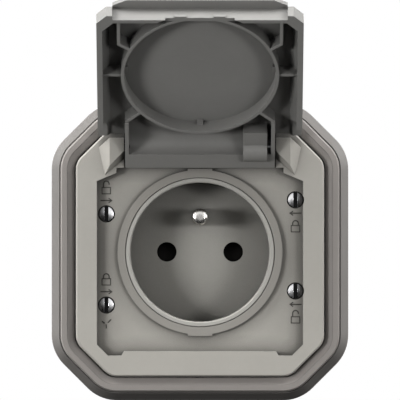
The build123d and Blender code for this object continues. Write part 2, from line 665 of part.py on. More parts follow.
def rear_housing():
    """Insulating housing in the wall box: round inside, wire holes behind, screwdriver holes."""
    body = plate_between(housing_outline(), housing_rear, -WELL_FLANGE_THICK)
    back_edges = body.faces().sort_by(Axis.Y)[-1].outer_wire().edges()
    body = chamfer(back_edges, HOUSING_EDGE)
    body -= post(0, 0, HOUSING_BORE_R, housing_floor, 0)
    for x, z, screw_way in clamp_places.values():
        wire_z = z + screw_way * WIRE_HOLE_SHIFT
        body -= post(x, wire_z, WIRE_HOLE_R, housing_rear - OVERRUN, housing_floor + OVERRUN)
        body -= screwdriver_hole(x, z, screw_way)
    for x, z in screw_corners:
        body -= post(x, z, HOUSING_SCREW_R + SCREW_HOLE_CLEAR, housing_rear - OVERRUN, 0)
        body -= post(x, z, HOUSING_SCREW_HEAD_R + SCREW_HEAD_CLEAR, housing_rear - OVERRUN,
                     -HOUSING_SCREW_DEPTH)
    return body


def housing_screw(x, z):
    """Slotted screw that holds housing, well and support together."""
    seat = -HOUSING_SCREW_DEPTH
    head_back = seat - HOUSING_SCREW_HEAD
    screw = post(x, z, HOUSING_SCREW_HEAD_R, head_back, seat)
    screw += post(x, z, HOUSING_SCREW_R, seat, seat + HOUSING_SCREW_LENGTH)
    half = HOUSING_SCREW_SLOT / 2
    return screw - block(x - HOUSING_SCREW_HEAD_R, x + HOUSING_SCREW_HEAD_R, z - half, z + half,
                         head_back, head_back + HOUSING_SCREW_SLOT_DEPTH)


def lock_screw(x, z):
    """Quarter-turn screw: domed slotted head, shank through the frame, cam foot behind the support."""
    head_front = head_seat + LOCK_HEAD_THICK
    head = post(x, z, LOCK_HEAD_R, head_seat, head_front)
    dome_r = (LOCK_HEAD_R ** 2 + LOCK_HEAD_DOME ** 2) / (2 * LOCK_HEAD_DOME)
    head &= Pos(x, dome_r - head_front, z) * Sphere(dome_r)
    cam_back = -LOCK_CAM_GAP - LOCK_CAM_THICK
    shank = post(x, z, LOCK_SHANK_R, cam_back, head_seat)
    foot = Pos(x, z) * Rot(0, 0, 90) * SlotOverall(LOCK_CAM_LENGTH, LOCK_CAM_WIDTH)
    screw = head + shank + plate_between(foot, cam_back, -LOCK_CAM_GAP)
    half = LOCK_SLOT_WIDTH / 2
    return screw - block(x - half, x + half, z - LOCK_HEAD_R, z + LOCK_HEAD_R,
                         head_front - LOCK_SLOT_DEPTH, head_front)


def lid_plan(points):
    """A face from (x, a) points of the closed lid, mirrored about its middle."""
    right = [(x, HINGE_Z - a) for x, a in points]
    left = [(-x, z) for x, z in reversed(right)]
    return Polygon(*right, *left, align=None)


def lid_layer(plan, c_low, c_high):
    """A plan made solid between two levels of the closed lid."""
    return plate_between(plan, HINGE_F + c_low, HINGE_F + c_high)


def lid_block(x_low, x_high, a_low, a_high, c_low, c_high):
    """A square-edged block of the closed lid."""
    return block(x_low, x_high, HINGE_Z - a_high, HINGE_Z - a_low, HINGE_F + c_low, HINGE_F + c_high)


def rib(start, end, c_low):
    """A straight thin wall on the panel between two (x, a) points of the closed lid."""
    line = Line((start[0], HINGE_Z - start[1]), (end[0], HINGE_Z - end[1]))
    way = line % 0
    face = Rectangle(line.length + RIB_THICK / 2, RIB_THICK)
    middle = line @ 0.5
    place = Pos(middle.X, middle.Y) * Rot(0, 0, degrees(atan2(way.Y, way.X)))
    return lid_layer(place * face, c_low, LID_PANEL)


def on_ring(x, way):
    """Distance a of the ring's middle at a place across, past the well's centre or before it."""
    middle_r = RING_OUTER_R - RING_WALL / 2
    return HINGE_Z + way * sqrt(middle_r ** 2 - x ** 2)


def on_section(a, c):
    """A point of the lid's section as (Y, Z)."""
    return (-(HINGE_F + c), HINGE_Z - a)


def knuckle():
    """Rounded hinge end of the lid, coved on its inner side."""
    top_a = -sqrt(KNUCKLE_R ** 2 - LID_FACE ** 2)
    rim_a = -sqrt(KNUCKLE_R ** 2 - LID_RIM ** 2)
    cove_a = LID_CUT + COVE_RUN
    cove_c = LID_PANEL - COVE_R
    cove_rim = cove_a - sqrt(COVE_R ** 2 - (LID_RIM - cove_c) ** 2)
    diagonal = COVE_R * sin(radians(45))
    outline = make_face([
        Line(on_section(cove_a, LID_FACE), on_section(top_a, LID_FACE)),
        ThreePointArc(on_section(top_a, LID_FACE), on_section(-KNUCKLE_R, 0), on_section(rim_a, LID_RIM)),
        Line(on_section(rim_a, LID_RIM), on_section(cove_rim, LID_RIM)),
        ThreePointArc(on_section(cove_rim, LID_RIM), on_section(cove_a - diagonal, cove_c + diagonal),
                      on_section(cove_a, LID_PANEL)),
        Line(on_section(cove_a, LID_PANEL), on_section(cove_a, LID_FACE)),
    ])
    return extrude(Plane.YZ.offset(-arm_outer) * outline, 2 * arm_outer, dir=(1, 0, 0))


def inside_plan(half):
    """Plan of the lid's inside for one half width, with its two cut corners."""
    return lid_plan([(half, LID_CUT - OVERRUN), (half, inner_end - INNER_CORNER),
                     (half - INNER_CORNER, inner_end)])


def lid_shell():
    """Outer skin and side walls of the closed lid, its inside cut out with a sloped ledge."""
    outline = lid_plan([(LID_HALF, LID_CUT), (LID_HALF, LID_END - LID_CORNER),
                        (LID_HALF - LID_CORNER, LID_END)])
    shell = lid_layer(outline, LID_RIM, LID_FACE)
    edges = shell.faces().sort_by(Axis.Y)[0].edges().sort_by(Axis.Z)
    shell = chamfer(edges[:-1], LID_BEVEL)
    ledge_half = inner_half - LEDGE_WIDTH
    shell -= lid_layer(inside_plan(inner_half), LID_RIM - OVERRUN, LEDGE_LEVEL)
    shell -= lid_layer(inside_plan(ledge_half), LID_RIM - OVERRUN, LID_PANEL)
    slope_low = HINGE_Z - inner_end + INNER_CORNER
    slope_length = HINGE_Z - LID_CUT + OVERRUN - slope_low
    slope = Polygon((inner_half, -(HINGE_F + LEDGE_LEVEL)), (ledge_half, -(HINGE_F + LID_PANEL)),
                    (ledge_half, -(HINGE_F + LEDGE_LEVEL)), align=None)
    shell -= mirrored(extrude(Plane.XY.offset(slope_low) * slope, slope_length, dir=(0, 0, 1)))
    return shell - lid_block(-GRIP_HALF, GRIP_HALF, grip_a, LID_END + OVERRUN, LID_RIM - OVERRUN, LIP_LEVEL)


def lid_lip():
    """Thin grip lip past the free end of the lid."""
    plan = lid_plan([(GRIP_HALF, LID_END - LIP_ROOT), (GRIP_HALF, LIP_SHOULDER), (LIP_HALF, LIP_END)])
    lip = lid_layer(plan, LIP_LEVEL, LIP_LEVEL + LIP_THICK)
    end = lip.faces().sort_by(Axis.Y)[0].edges().sort_by(Axis.Z)[0]
    return fillet(end, LIP_EDGE_R)


def sealing_ring():
    """Round rib that closes on the well's seal, with three small nubs inside it."""
    ring = lid_layer(Circle(RING_OUTER_R) - Circle(ring_inner_r), RING_TIP, LID_PANEL)
    nub = block(-NUB_WIDTH / 2, NUB_WIDTH / 2, ring_inner_r - NUB_DEPTH, ring_inner_r + rib_overlap,
                HINGE_F + NUB_LEVEL, HINGE_F + LID_PANEL)
    for turn in (-90, 0, 90):
        ring += nub.rotate(Axis((0, 0, 0), (0, 1, 0)), turn)
    return ring


def lid_ribs():
    """Stiffening ribs round the sealing ring and the two hinge arms."""
    arm_x = (arm_inner + arm_outer) / 2
    corner = (UPPER_RIB_X, UPPER_RIB_A)
    right = rib((UPPER_RIB_X, inner_end), corner, RING_TIP)
    right += rib(corner, (UPPER_RIB_MEET_X, on_ring(UPPER_RIB_MEET_X, 1)), RING_TIP)
    right += rib((RING_OUTER_R, HINGE_Z), (inner_half - RIB_THICK / 4, HINGE_Z), RING_TIP + SIDE_RIB_DROP)
    right += rib((LOWER_RIB_MEET_X, on_ring(LOWER_RIB_MEET_X, -1)), (arm_x, LOWER_RIB_A), RING_TIP)
    right += lid_block(arm_inner, arm_outer, 0, ARM_END, LID_RIM, LID_PANEL)
    return mirrored(right)


def hinge_block():
    """Block with a half-round nose round the longer hinge pin."""
    middle = (BLOCK_OUTER + BLOCK_INNER) / 2
    nose_y, nose_z = on_section(BLOCK_NOSE_A, BLOCK_NOSE_LEVEL)
    nose = Pos(middle, nose_y, nose_z) * Rot(0, 90, 0) * Cylinder(BLOCK_NOSE_R, BLOCK_WIDTH)
    return nose + lid_block(BLOCK_INNER, BLOCK_OUTER, 0, BLOCK_END, BLOCK_LEVEL, LID_PANEL)


def snap_bumps():
    """Two small ramps on the end wall and the slightly taller rim between them."""
    bumps = lid_block(SNAP_INNER, SNAP_OUTER, grip_a - OVERLAP, grip_a + SNAP_OUT,
                      LID_RIM, LID_RIM + SNAP_HEIGHT)
    taller = lid_block(-RIM_RISE_HALF, RIM_RISE_HALF, inner_end, grip_a,
                       LID_RIM - RIM_RISE, LID_RIM + OVERLAP)
    return mirrored(bumps) + taller


def lid():
    """The whole lid, modelled closed and then swung open about its hinge."""
    closed = lid_shell() + knuckle() + lid_lip() + sealing_ring() + lid_ribs() + hinge_block() + snap_bumps()
    skirt = lid_block(arm_outer, LID_HALF + OVERRUN, -OVERRUN, SKIRT_CUT, -HINGE_F, SKIRT_CUT_LEVEL)
    closed -= mirrored(skirt)
    over_seal = Circle(WELL_SEAL_TAB_OUT + SEAL_RELIEF)
    closed -= lid_layer(over_seal, LID_RIM - OVERRUN, RING_TIP)
    bore = HINGE_PIN_R + HINGE_PIN_FIT
    closed -= along_x(-arm_outer - OVERRUN, -arm_inner + OVERLAP, bore)
    closed -= along_x(pin_stop - OVERLAP, arm_outer + OVERRUN, bore)
    hinge_line = Axis((0, -HINGE_F, HINGE_Z), (1, 0, 0))
    return closed.rotate(hinge_line, -LID_OPEN_DEG)


def build():
    """Every sub-part by its name."""
    parts = {
        "wall_seal": wall_seal(),
        "surround_plate": surround_plate(),
        "support_frame": support_frame(),
        "frame_gasket": frame_gasket(),
        "front_frame": front_frame(),
        "well_seal": well_seal(),
        "socket_well": socket_well(),
        "earth_pin": earth_pin(),
        "earth_strap": earth_strap(),
        "live_contact": phase_contact(1),
        "neutral_contact": phase_contact(-1),
        "shutter_guide": shutter_guide(),
        "shutter": shutter(),
        "shutter_spring": shutter_spring(),
        "rear_housing": rear_housing(),
        "housing_screws": Compound(children=[housing_screw(x, z) for x, z in screw_corners]),
        "terminal_screws": Compound(children=[terminal_screw(*place) for place in clamp_places.values()]),
        "hinge_pin_left": along_x(-pin_outer, -arm_inner, HINGE_PIN_R),
        "hinge_pin_right": along_x(pin_stop, pin_outer, HINGE_PIN_R),
        "lid": lid(),
    }
    for name, place in clamp_places.items():
        parts[name] = terminal_clamp(*place)
    for name, (x, z) in lock_places.items():
        parts[name] = lock_screw(x, z)
    return parts


os.makedirs("parts", exist_ok=True)
for node, solid in build().items():
    export_step(solid, f"parts/{node}.step")
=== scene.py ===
import bpy
import json
from math import cos, pi, radians, sin
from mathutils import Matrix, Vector

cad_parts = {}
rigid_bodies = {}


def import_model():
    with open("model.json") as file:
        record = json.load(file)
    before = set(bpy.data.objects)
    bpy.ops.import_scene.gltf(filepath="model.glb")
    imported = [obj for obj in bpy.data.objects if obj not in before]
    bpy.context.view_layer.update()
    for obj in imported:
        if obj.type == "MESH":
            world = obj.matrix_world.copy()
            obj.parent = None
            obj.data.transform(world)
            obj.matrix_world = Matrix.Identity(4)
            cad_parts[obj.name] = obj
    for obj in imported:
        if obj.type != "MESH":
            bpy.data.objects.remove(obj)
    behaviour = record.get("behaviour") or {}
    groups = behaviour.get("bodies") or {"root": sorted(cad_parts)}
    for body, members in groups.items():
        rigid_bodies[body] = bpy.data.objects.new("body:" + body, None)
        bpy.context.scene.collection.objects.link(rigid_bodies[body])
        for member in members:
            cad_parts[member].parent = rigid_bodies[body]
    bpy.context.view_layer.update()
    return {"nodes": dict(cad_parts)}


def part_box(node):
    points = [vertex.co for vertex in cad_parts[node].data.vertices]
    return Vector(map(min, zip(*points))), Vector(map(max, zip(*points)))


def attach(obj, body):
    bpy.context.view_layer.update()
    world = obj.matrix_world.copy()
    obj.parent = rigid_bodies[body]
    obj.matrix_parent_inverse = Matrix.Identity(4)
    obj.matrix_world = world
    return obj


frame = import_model()
MM = 0.001

# Camera: square on to the wall, a long lens well back, level with the middle of the whole picture.
# It looks along +Y, so nothing of the socket's sides shows.
CAMERA_BACK = 1.9
CAMERA_HEIGHT = 0.01485
CAMERA_LENS = 600.4
camera = bpy.data.objects.new("camera", bpy.data.cameras.new("camera"))
camera.data.sensor_width = 36.0
camera.data.lens = CAMERA_LENS
camera.data.clip_start = 0.05
camera.data.clip_end = 50.0
camera.location = (0.0, -CAMERA_BACK, CAMERA_HEIGHT)
camera.rotation_euler = (pi / 2, 0.0, 0.0)
bpy.context.scene.collection.objects.link(camera)
bpy.context.scene.camera = camera
bpy.context.scene.view_settings.view_transform = "Standard"


# Studio: a pale floor below the socket that fades to white and isn't seen from underneath, a white surround
# that only the eye and shiny faces see, softboxes in front, at both sides and above, and two for the back.
class Link:
    """An output of a shader node; sums and products on it add Math nodes."""

    def __init__(self, graph, socket):
        self.graph = graph
        self.socket = socket

    def maths(self, operation, first, second):
        return self.graph.add("ShaderNodeMath", {"operation": operation}, {0: first, 1: second})

    def __add__(self, other):
        return self.maths("ADD", self, other)

    def __radd__(self, other):
        return self.maths("ADD", other, self)

    def __sub__(self, other):
        return self.maths("SUBTRACT", self, other)

    def __rsub__(self, other):
        return self.maths("SUBTRACT", other, self)

    def __mul__(self, other):
        return self.maths("MULTIPLY", self, other)

    def __rmul__(self, other):
        return self.maths("MULTIPLY", other, self)

    def __pow__(self, other):
        return self.maths("POWER", self, other)


class Graph:
    """The shader nodes of one material or of the world."""

    def __init__(self, owner):
        owner.use_nodes = True
        self.tree = owner.node_tree
        self.tree.nodes.clear()

    def add(self, kind, settings, sockets, out=0):
        node = self.tree.nodes.new(kind)
        for name, value in settings.items():
            setattr(node, name, value)
        for key, value in sockets.items():
            if isinstance(value, Link):
                self.tree.links.new(value.socket, node.inputs[key])
            else:
                node.inputs[key].default_value = value
        return Link(self, node.outputs[out]) if len(node.outputs) else None

    def mix(self, factor, first, second):
        return self.add("ShaderNodeMix", {"data_type": "RGBA"}, {0: factor, 6: first, 7: second}, 2)

    def noise(self, scale, detail=2.0):
        place = self.add("ShaderNodeTexCoord", {}, {}, "Object")
        return self.add("ShaderNodeTexNoise", {}, {"Vector": place, "Scale": scale, "Detail": detail})

    def smooth(self, value, low, high):
        return self.add("ShaderNodeMapRange", {"interpolation_type": "SMOOTHSTEP"},
                        {"Value": value, "From Min": low, "From Max": high})


FLOOR_LEVEL = -0.060
FLOOR_REACH = (-3.0, 3.0, -3.0, 0.5)
FLOOR_SEEN = (0.80, 0.80, 0.79, 1.0)
FLOOR_BOUNCE = (0.015, 0.015, 0.015, 1.0)
FLOOR_FADE = (0.2, 0.7)
west, east, south, north = FLOOR_REACH
floor_mesh = bpy.data.meshes.new("floor")
floor_mesh.from_pydata([(west, south, FLOOR_LEVEL), (east, south, FLOOR_LEVEL),
                        (east, north, FLOOR_LEVEL), (west, north, FLOOR_LEVEL)], [], [(0, 1, 2, 3)])
floor = bpy.data.objects.new("floor", floor_mesh)
bpy.context.scene.collection.objects.link(floor)
floor_paint = bpy.data.materials.new("floor_paint")
graph = Graph(floor_paint)
seen = graph.add("ShaderNodeLightPath", {}, {}, "Is Camera Ray")
paint = graph.add("ShaderNodeBsdfDiffuse", {}, {"Color": graph.mix(seen, FLOOR_BOUNCE, FLOOR_SEEN)})
glow = graph.add("ShaderNodeEmission", {}, {"Color": (1.0, 1.0, 1.0, 1.0), "Strength": 1.0})
place = graph.add("ShaderNodeTexCoord", {}, {}, "Object")
away = graph.add("ShaderNodeVectorMath", {"operation": "LENGTH"}, {0: place}, "Value")
faded = graph.add("ShaderNodeMixShader", {}, {0: seen * graph.smooth(away, *FLOOR_FADE), 1: paint, 2: glow})
under = graph.add("ShaderNodeNewGeometry", {}, {}, "Backfacing")
gone = graph.add("ShaderNodeBsdfTransparent", {}, {})
open_below = graph.add("ShaderNodeMixShader", {}, {0: under, 1: faded, 2: gone})
graph.add("ShaderNodeOutputMaterial", {}, {"Surface": open_below})
floor_mesh.materials.append(floor_paint)

WORLD_FILL = 0.03
WORLD_BELOW = 0.25
HORIZON = (-0.5, 0.3)
world = bpy.data.worlds.new("studio")
bpy.context.scene.world = world
graph = Graph(world)
seen = graph.add("ShaderNodeLightPath", {}, {}, "Is Camera Ray")
shiny = graph.add("ShaderNodeLightPath", {}, {}, "Is Glossy Ray")
clear = graph.add("ShaderNodeLightPath", {}, {}, "Is Transmission Ray")
way = graph.add("ShaderNodeTexCoord", {}, {}, "Generated")
height = graph.add("ShaderNodeSeparateXYZ", {}, {"Vector": way}, "Z")
around = graph.smooth(height, *HORIZON) * (1.0 - WORLD_BELOW) + WORLD_BELOW
strength = graph.add("ShaderNodeMath", {"operation": "MAXIMUM"}, {0: seen + clear, 1: shiny * around})
fill = graph.add("ShaderNodeMath", {"operation": "MAXIMUM"}, {0: strength, 1: WORLD_FILL})
sky = graph.add("ShaderNodeBackground", {}, {"Color": (1.0, 1.0, 1.0, 1.0), "Strength": fill})
graph.add("ShaderNodeOutputWorld", {}, {"Surface": sky})

LAMP_AIM = Vector((0.0, 0.0, 0.010))
LAMP_DISTANCE = 0.9
# Azimuth and elevation in degrees, width and height in metres, and the light on a face turned to the lamp.
LAMPS = {
    "lamp_front_left": (-45, 1, 0.26, 0.13, 0.49),
    "lamp_front_right": (38, 1, 0.26, 0.13, 0.25),
    "lamp_side_left": (-77, 12, 0.35, 0.35, 0.38),
    "lamp_side_right": (77, 12, 0.35, 0.35, 0.27),
    "lamp_high_left": (-74, 46, 0.35, 0.35, 1.05),
    "lamp_high_right": (74, 46, 0.35, 0.35, 0.82),
    "lamp_above": (0, 82, 0.35, 0.35, 0.32),
    "lamp_rear_left": (-150, 12, 0.35, 0.35, 0.50),
    "lamp_rear_right": (150, 12, 0.35, 0.35, 0.50),
}
for name, (azimuth, elevation, width, height, light) in LAMPS.items():
    data = bpy.data.lights.new(name, "AREA")
    data.shape = "RECTANGLE"
    data.size = width
    data.size_y = height
    data.energy = light * pi * pi * LAMP_DISTANCE ** 2
    lamp = bpy.data.objects.new(name, data)
    turn, rise = radians(azimuth), radians(elevation)
    way = Vector((sin(turn) * cos(rise), -cos(turn) * cos(rise), sin(rise)))
    lamp.location = LAMP_AIM + way * LAMP_DISTANCE
    lamp.rotation_euler = way.to_track_quat("Z", "Y").to_euler()
    bpy.context.scene.collection.objects.link(lamp)


# Soft ring between the wall and the plate, moulded in grey thermoplastic rubber.
# Its sloped outer band is all that shows; the lip behind presses on the wall.
def srgb(red, green, blue):
    """Linear colour of an 8-bit screen colour, for channels above 10."""
    return tuple(((channel / 255 + 0.055) / 1.055) ** 2.4 for channel in (red, green, blue)) + (1.0,)


def shade(colour, factor):
    """The same colour made lighter or darker."""
    return tuple(channel * factor for channel in colour[:3]) + (1.0,)


MOTTLE_SCALE = 90.0
CLOUD_SCALE = 700.0
MOTTLE_DARK = 0.975
MOTTLE_LIGHT = 1.02
PIT_SHADE = 0.93
PAINTED_SHADE = 0.02
ROUGHNESS_SPREAD = 0.12


def moulded(name, colour, roughness, gloss, grain, relief, edge, corner_shade=1.0, reach=16.0):
    """Moulded skin: slow mottling, spark-eroded grain, softened edges and painted shade that darkens the
    corners.

    Grain, relief, edge and the reach of the painted corner shade are in mm; a higher corner shade power
    darkens the corners more.
    """
    material = bpy.data.materials.new(name)
    graph = Graph(material)
    slow = graph.noise(MOTTLE_SCALE)
    cloud = graph.noise(CLOUD_SCALE, 3.0)
    fine = graph.noise(1.0 / (grain * MM), 1.0)
    mottle = graph.smooth(slow * 0.6 + cloud * 0.4, 0.35, 0.65)
    tint = graph.mix(mottle, shade(colour, MOTTLE_DARK), shade(colour, MOTTLE_LIGHT))
    tint = graph.mix(graph.smooth(fine, 0.3, 0.75) * 0.5, tint, shade(colour, PIT_SHADE))
    # Painted shade: ambient occlusion within the reach darkens the colour in corners, recesses and beside
    # other parts.
    openness = graph.add("ShaderNodeAmbientOcclusion", {"samples": 12}, {"Distance": reach * MM}, "AO")
    tint = graph.mix(openness ** corner_shade, shade(colour, PAINTED_SHADE), tint)
    soft = graph.add("ShaderNodeBevel", {"samples": 6}, {"Radius": edge * MM})
    height = fine * 0.8 + cloud * 0.2
    skin = graph.add("ShaderNodeBump", {}, {
        "Strength": 0.6, "Distance": relief * MM, "Height": height, "Normal": soft})
    body = graph.add("ShaderNodeBsdfPrincipled", {}, {
        "Base Color": tint, "Roughness": roughness + (cloud - 0.5) * ROUGHNESS_SPREAD,
        "Specular IOR Level": gloss, "Normal": skin})
    graph.add("ShaderNodeOutputMaterial", {}, {"Surface": body})
    return material


def dress(material, *nodes):
    """Give CAD parts a material in every slot."""
    for node in nodes:
        mesh = frame["nodes"][node].data
        if not mesh.materials:
            mesh.materials.append(material)
        for i in range(len(mesh.materials)):
            mesh.materials[i] = material


SEAL_GREY = srgb(110, 107, 104)
seal_rubber = moulded("seal_rubber", SEAL_GREY, roughness=0.62, gloss=0.30, grain=0.16, relief=0.020,
                      edge=0.15, corner_shade=1.0, reach=3.0)
dress(seal_rubber, "wall_seal")


# Surround plate, one hollow moulding in a slightly darker, warmer grey than the frame.
# A groove runs inside its ridge, and it hides the edge of the support behind.
PLATE_GREY = srgb(142, 137, 133)
plate_plastic = moulded("plate_plastic", PLATE_GREY, roughness=0.52, gloss=0.35, grain=0.20, relief=0.030,
                        edge=0.20, corner_shade=0.7, reach=0.6)
dress(plate_plastic, "surround_plate")


# Front frame, the light moulding that carries the lid and closes the wall box.
# Its face is flat and satin, its hinge ears are faceted, and its floor holds the lock screws.
FRAME_GREY = srgb(172, 169, 162)
frame_plastic = moulded("frame_plastic", FRAME_GREY, roughness=0.50, gloss=0.35, grain=0.20, relief=0.030,
                        edge=0.20, corner_shade=1.4, reach=5.0)
dress(frame_plastic, "front_frame")


# Small signs beside the lock screws, fine beads moulded on the frame's floor and coloured dark grey as
# painted shade for the shadow along the raised strokes.
# Each screw has an arrow and a padlock, shut or open, and the last sign marks where the frame lifts out.
# They are drawn in mm round their own middles, and each stands its distance from its screw's middle.
# Painted shade: the beads' dark grey stands in for the shade that darkens the raised strokes.
SIGN_SHADE_GREY = srgb(70, 68, 64)
SIGN_BEAD = 0.14
BEAD_SIDES = 8
SIGN_FLOOR = -5.1
ARROW_AWAY = 3.8
PADLOCK_AWAY = 7.4
LIFT_MARK_AWAY = 5.2
SHACKLE_R = 0.8
SHACKLE_FOOT = 0.1
SHACKLE_STEPS = 8


def shackle(leg, end):
    """A padlock's bow: up one leg, over, and down to where it ends."""
    turns = [pi * step / SHACKLE_STEPS for step in range(SHACKLE_STEPS + 1)]
    bow = [(-SHACKLE_R * cos(turn), leg + SHACKLE_R * sin(turn)) for turn in turns]
    return [(-SHACKLE_R, SHACKLE_FOOT)] + bow + [(SHACKLE_R, end)]


PADLOCK_BODY = [(-1.2, SHACKLE_FOOT), (1.2, SHACKLE_FOOT), (1.2, -1.7), (-1.2, -1.7)]
SIGNS = {
    "sign_1_arrow": ([(-1.6, 0.0), (1.6, 0.0)], [(0.7, 0.6), (1.6, 0.0), (0.7, -0.6)]),
    "sign_2_shut": (PADLOCK_BODY, shackle(0.7, SHACKLE_FOOT)),
    "sign_3_open": (PADLOCK_BODY, shackle(1.1, 0.9)),
    "sign_4_lift": ([(-1.2, 0.6), (-0.5, 0.1)], [(0.0, -0.3), (0.0, -1.4)], [(0.5, 0.2), (1.3, 1.1)]),
}
ARROW, SHUT, OPEN, LIFT = range(len(SIGNS))
# The padlock, the way from the screw along Z, and the turn of the arrow, which points to the well.
SCREW_SIGNS = {
    "lock_screw_top_left": (OPEN, 1, 0.0),
    "lock_screw_bottom_left": (SHUT, 1, 0.0),
    "lock_screw_top_right": (SHUT, -1, pi),
    "lock_screw_bottom_right": (OPEN, -1, pi),
}
sign_curves = bpy.data.collections.new("sign_curves")
bpy.context.scene.collection.children.link(sign_curves)
for name, strokes in SIGNS.items():
    curve = bpy.data.curves.new(name, "CURVE")
    curve.dimensions = "3D"
    for stroke in strokes:
        line = curve.splines.new("POLY")
        line.points.add(len(stroke) - 1)
        line.use_cyclic_u = stroke is PADLOCK_BODY
        for point, (x, z) in zip(line.points, stroke):
            point.co = (x * MM, 0.0, z * MM, 1.0)
    sign_curves.objects.link(bpy.data.objects.new(name, curve))

places, turns, kinds = [], [], []
for node, (padlock, way, turn) in SCREW_SIGNS.items():
    low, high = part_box(node)
    x, z = (low[0] + high[0]) / 2 / MM, (low[2] + high[2]) / 2 / MM
    places += [(x, z + way * ARROW_AWAY), (x, z + way * PADLOCK_AWAY)]
    turns += [turn, 0.0]
    kinds += [ARROW, padlock]
    if node == "lock_screw_bottom_left":
        places.append((x, z - LIFT_MARK_AWAY))
        turns.append(0.0)
        kinds.append(LIFT)
sign_points = bpy.data.meshes.new("sign_points")
sign_points.from_pydata([(x * MM, SIGN_FLOOR * MM, z * MM) for x, z in places], [], [])
sign_points.attributes.new("turn", "FLOAT", "POINT").data.foreach_set("value", turns)
sign_points.attributes.new("kind", "INT", "POINT").data.foreach_set("value", kinds)
sign_maker = bpy.data.objects.new("sign_maker", sign_points)
bpy.context.scene.collection.objects.link(sign_maker)

tree = bpy.data.node_groups.new("raised_signs", "GeometryNodeTree")
identifiers = {}
for title, kind in (("Places", "NodeSocketGeometry"), ("Signs", "NodeSocketCollection"),
                    ("Bead Radius", "NodeSocketFloat"), ("Finish", "NodeSocketMaterial")):
    identifiers[title] = tree.interface.new_socket(title, in_out="INPUT", socket_type=kind).identifier
tree.interface.new_socket("Raised Signs", in_out="OUTPUT", socket_type="NodeSocketGeometry")


def lay(kind, settings, sockets):
    """One node of the sign tree; each socket takes a value or an earlier node's output."""
    node = tree.nodes.new(kind)
    for name, value in settings.items():
        setattr(node, name, value)
    for name, value in sockets.items():
        if isinstance(value, bpy.types.NodeSocket):
            tree.links.new(value, node.inputs[name])
        else:
            node.inputs[name].default_value = value
    return node.outputs


given = lay("NodeGroupInput", {}, {})
drawings = lay("GeometryNodeCollectionInfo", {}, {
    "Collection": given["Signs"], "Separate Children": True, "Reset Children": True})
ring = lay("GeometryNodeCurvePrimitiveCircle", {}, {"Resolution": BEAD_SIDES, "Radius": given["Bead Radius"]})
beads = lay("GeometryNodeCurveToMesh", {}, {
    "Curve": drawings["Instances"], "Profile Curve": ring["Curve"], "Fill Caps": True})
which = lay("GeometryNodeInputNamedAttribute", {"data_type": "INT"}, {"Name": "kind"})
angle = lay("GeometryNodeInputNamedAttribute", {"data_type": "FLOAT"}, {"Name": "turn"})
about = lay("ShaderNodeCombineXYZ", {}, {"Y": angle["Attribute"]})
placed = lay("GeometryNodeInstanceOnPoints", {}, {
    "Points": given["Places"], "Instance": beads["Mesh"], "Pick Instance": True,
    "Instance Index": which["Attribute"], "Rotation": about["Vector"]})
solid = lay("GeometryNodeRealizeInstances", {}, {"Geometry": placed["Instances"]})
inked = lay("GeometryNodeSetMaterial", {}, {"Geometry": solid["Geometry"], "Material": given["Finish"]})
lay("NodeGroupOutput", {}, {"Raised Signs": inked["Geometry"]})

sign_shade_paint = moulded("sign_shade_paint", SIGN_SHADE_GREY, roughness=0.55, gloss=0.30, grain=0.20, relief=0.010,
                   edge=0.04, corner_shade=0.3, reach=2.0)
modifier = sign_maker.modifiers.new("raised_signs", "NODES")
modifier.node_group = tree
modifier[identifiers["Signs"]] = sign_curves
modifier[identifiers["Bead Radius"]] = SIGN_BEAD * MM
modifier[identifiers["Finish"]] = sign_shade_paint
evaluated = sign_maker.evaluated_get(bpy.context.evaluated_depsgraph_get())
signs = bpy.data.objects.new("signs", bpy.data.meshes.new_from_object(evaluated))
bpy.context.scene.collection.objects.link(signs)
for helper in list(sign_curves.objects) + [sign_maker]:
    bpy.data.objects.remove(helper)
bpy.data.collections.remove(sign_curves)
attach(signs, "base")


# Soft flat ring round the well with a locating tab above and below.
# The lid's round rib closes on it and keeps the rain out.
WELL_SEAL_GREY = srgb(146, 143, 137)
well_seal_rubber = moulded("well_seal_rubber", WELL_SEAL_GREY, roughness=0.60, gloss=0.30, grain=0.14,
                           relief=0.020, edge=0.12, corner_shade=1.0, reach=6.0)
dress(well_seal_rubber, "well_seal")


# The cup that takes the plug, in the frame's own plastic, with a polished inside.
# It is one moulding with the flange that closes the housing behind.
WELL_GREY = srgb(173, 171, 165)
well_plastic = moulded("well_plastic", WELL_GREY, roughness=0.42, gloss=0.40, grain=0.20, relief=0.012,
                       edge=0.15, corner_shade=0.8)
dress(well_plastic, "socket_well")


# Lid, one moulding in the frame's plastic: ribs, sealing ring, arms and grip lip in one piece.
# It swings on two pins between the frame's ears.
# The lid's grey is the frame's plastic painted darker: painted shade for the lid, whose inside faces down and
# away from the lamps.
LID_SHADED_GREY = srgb(139, 138, 135)
lid_plastic = moulded("lid_plastic", LID_SHADED_GREY, roughness=0.46, gloss=0.38, grain=0.20, relief=0.022,
                      edge=0.18, corner_shade=0.55, reach=10.0)
dress(lid_plastic, "lid")


# Turned and stamped metal: the lock screws, the earth pin, the hinge pins, the wall support, the contacts,
# the clamps with their screws, and the spring. Plated, with fine turning marks and painted shade in the
# recesses.
DRAWN_STRETCH = 0.12
BLOOM_SCALE = 400.0
BLOOM_SHADE = 0.86
METAL_REACH = 1.5


